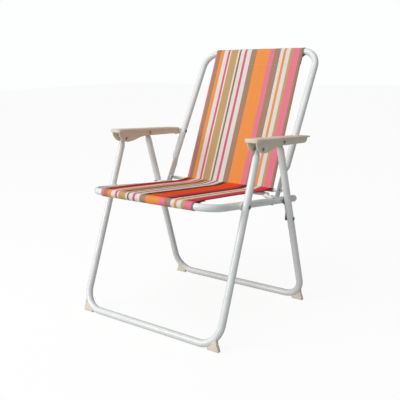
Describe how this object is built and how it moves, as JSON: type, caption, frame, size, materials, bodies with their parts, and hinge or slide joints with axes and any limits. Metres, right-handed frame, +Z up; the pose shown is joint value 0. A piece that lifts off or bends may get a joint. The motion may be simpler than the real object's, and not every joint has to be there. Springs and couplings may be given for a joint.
{
  "type": "folding beach chair",
  "caption": "Low folding armchair with a bent steel-tube frame, two moulded armrests and one stretched striped cloth for seat and back.",
  "frame": {"origin": "on the floor, under the middle of the chair's box", "axes": "+Z up, the front of the chair faces -Y, X across; left and right are as seen from the front"},
  "size_m": [0.537, 0.6119, 0.7633],
  "materials": {
    "white_powder_coat": "glossy white powder coat on steel tube",
    "ivory_plastic": "moulded polypropylene, fine satin",
    "zinc_plate": "bright zinc plate",
    "striped_cloth": "woven striped canvas"
  },
  "bodies": {
    "seat": {"seat_frame": "white_powder_coat", "seat_rear_bar": "white_powder_coat", "seat_sling": "striped_cloth", "seat_bar_rivet_left": "zinc_plate", "seat_bar_rivet_right": "zinc_plate", "seat_plug_left": "ivory_plastic", "seat_plug_right": "ivory_plastic", "seat_spacer_left": "ivory_plastic", "seat_spacer_right": "ivory_plastic", "leg_rivet_left": "zinc_plate", "leg_rivet_right": "zinc_plate", "hinge_pin_left": "zinc_plate", "hinge_pin_right": "zinc_plate"},
    "back": {"back_frame": "white_powder_coat", "back_lower_bar": "white_powder_coat", "back_sling": "striped_cloth", "back_bar_rivet_left": "zinc_plate", "back_bar_rivet_right": "zinc_plate", "armrest_back_rivet_left": "zinc_plate", "armrest_back_rivet_right": "zinc_plate", "back_spacer_left": "ivory_plastic", "back_spacer_right": "ivory_plastic"},
    "front_legs": {"front_leg_frame": "white_powder_coat", "foot_front_left": "ivory_plastic", "foot_front_right": "ivory_plastic"},
    "armrests": {"armrest_left": "ivory_plastic", "armrest_right": "ivory_plastic", "armrest_front_rivet_left": "zinc_plate", "armrest_front_rivet_right": "zinc_plate", "armrest_rear_rivet_left": "zinc_plate", "armrest_rear_rivet_right": "zinc_plate"},
    "rear_legs": {"rear_leg_frame": "white_powder_coat", "foot_rear_left": "ivory_plastic", "foot_rear_right": "ivory_plastic", "catch_plate_left": "zinc_plate", "catch_plate_right": "zinc_plate", "catch_rivet_left": "zinc_plate", "catch_rivet_right": "zinc_plate"}
  },
  "joints": [
    {"name": "back_hinge", "type": "hinge", "parent": "seat", "child": "back", "pos_m": [0, 0.0546, 0.3302], "axis": [-1, 0, 0], "range_deg": [0, 58]},
    {"name": "front_leg_hinge", "type": "hinge", "parent": "seat", "child": "front_legs", "pos_m": [0, -0.16073, 0.35546], "axis": [-1, 0, 0], "range_deg": [0, 66.1]},
    {"name": "armrest_hinge", "type": "hinge", "parent": "back", "child": "armrests", "pos_m": [0, 0.15009, 0.4985], "axis": [1, 0, 0], "range_deg": [0, 52.6]},
    {"name": "rear_leg_hinge", "type": "hinge", "parent": "armrests", "child": "rear_legs", "pos_m": [0, 0.00476, 0.50694], "axis": [-1, 0, 0], "range_deg": [0, 88.8]}
  ],
  "couplings": [
    {"joint": "front_leg_hinge", "follows": "back_hinge", "ratio": 1.138},
    {"joint": "armrest_hinge", "follows": "back_hinge", "ratio": 0.9055},
    {"joint": "rear_leg_hinge", "follows": "back_hinge", "ratio": 1.53}
  ]
}
